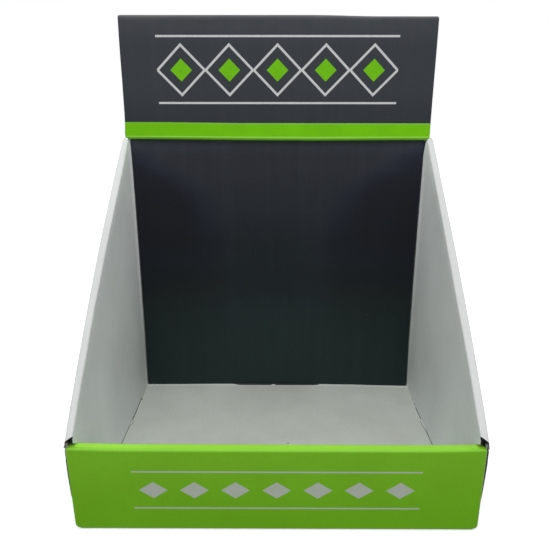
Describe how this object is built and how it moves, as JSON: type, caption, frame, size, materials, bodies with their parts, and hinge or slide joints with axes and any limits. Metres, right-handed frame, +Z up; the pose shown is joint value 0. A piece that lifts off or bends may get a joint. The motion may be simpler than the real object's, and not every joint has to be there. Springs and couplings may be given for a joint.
{
  "type": "cardboard counter display",
  "caption": "Folded corrugated cardboard counter tray with rolled double walls, sloping sides, a low printed front and a raised header above the back wall.",
  "frame": {"origin": "centre of the bounding box on the surface the tray stands on", "axes": "+Z up, the low front wall faces -Y, +X to the right as seen from the front"},
  "size_m": [0.24, 0.1812, 0.3035],
  "materials": {
    "green_print": "solid green print under a satin varnish",
    "black_print": "solid black print under a satin varnish",
    "white_liner": "matt white-grey liner"
  },
  "bodies": {
    "base": {"base_panel": "white_liner", "front_lock_tab": "white_liner", "back_lock_tab": "black_print"},
    "left_side": {"side_outer_panel_L": "black_print", "side_top_roll_L": "white_liner", "side_inner_panel_L": "white_liner", "front_corner_flap_L": "black_print", "rear_corner_flap_L": "black_print"},
    "right_side": {"side_outer_panel_R": "black_print", "side_top_roll_R": "white_liner", "side_inner_panel_R": "white_liner", "front_corner_flap_R": "black_print", "rear_corner_flap_R": "black_print"},
    "front_outer": {"front_outer_panel": "green_print"},
    "front_roll": {"front_top_roll": "green_print"},
    "front_inner": {"front_inner_panel": "green_print"},
    "back_outer": {"back_outer_panel": "black_print"},
    "header_top": {"header_top_roll": "black_print"},
    "header_front": {"header_front_panel": "black_print"},
    "ledge": {"header_ledge": "green_print"},
    "back_inner": {"back_inner_panel": "black_print"}
  },
  "joints": [
    {"name": "left_side_fold", "type": "hinge", "parent": "base", "child": "left_side", "pos_m": [-0.12, 0, 0], "axis": [0, -1, 0], "range_deg": [0, 90]},
    {"name": "right_side_fold", "type": "hinge", "parent": "base", "child": "right_side", "pos_m": [0.12, 0, 0], "axis": [0, 1, 0], "range_deg": [0, 90]},
    {"name": "front_unfold", "type": "hinge", "parent": "base", "child": "front_outer", "pos_m": [0, -0.09065, 0], "axis": [1, 0, 0], "range_deg": [0, 90]},
    {"name": "front_roll_unfold", "type": "hinge", "parent": "front_outer", "child": "front_roll", "pos_m": [0, -0.09065, 0.0547], "axis": [1, 0, 0], "range_deg": [0, 90]},
    {"name": "front_inner_unfold", "type": "hinge", "parent": "front_roll", "child": "front_inner", "pos_m": [0, -0.08415, 0.0547], "axis": [1, 0, 0], "range_deg": [0, 90]},
    {"name": "back_unfold", "type": "hinge", "parent": "base", "child": "back_outer", "pos_m": [0, 0.09065, 0], "axis": [-1, 0, 0], "range_deg": [0, 90]},
    {"name": "header_top_unfold", "type": "hinge", "parent": "back_outer", "child": "header_top", "pos_m": [0, 0.09065, 0.3035], "axis": [-1, 0, 0], "range_deg": [0, 90]},
    {"name": "header_front_unfold", "type": "hinge", "parent": "header_top", "child": "header_front", "pos_m": [0, 0.07975, 0.3035], "axis": [-1, 0, 0], "range_deg": [0, 90]},
    {"name": "header_ledge_unfold", "type": "hinge", "parent": "header_front", "child": "ledge", "pos_m": [0, 0.07975, 0.2152], "axis": [-1, 0, 0], "range_deg": [0, 90]},
    {"name": "back_inner_unfold", "type": "hinge", "parent": "ledge", "child": "back_inner", "pos_m": [0, 0.08645, 0.2167], "axis": [1, 0, 0], "range_deg": [0, 90]}
  ],
  "couplings": [
    {"joint": "front_roll_unfold", "follows": "front_unfold", "ratio": 1},
    {"joint": "front_inner_unfold", "follows": "front_unfold", "ratio": 1},
    {"joint": "header_top_unfold", "follows": "back_unfold", "ratio": 1},
    {"joint": "header_front_unfold", "follows": "back_unfold", "ratio": 1},
    {"joint": "header_ledge_unfold", "follows": "back_unfold", "ratio": 1},
    {"joint": "back_inner_unfold", "follows": "back_unfold", "ratio": 1}
  ]
}
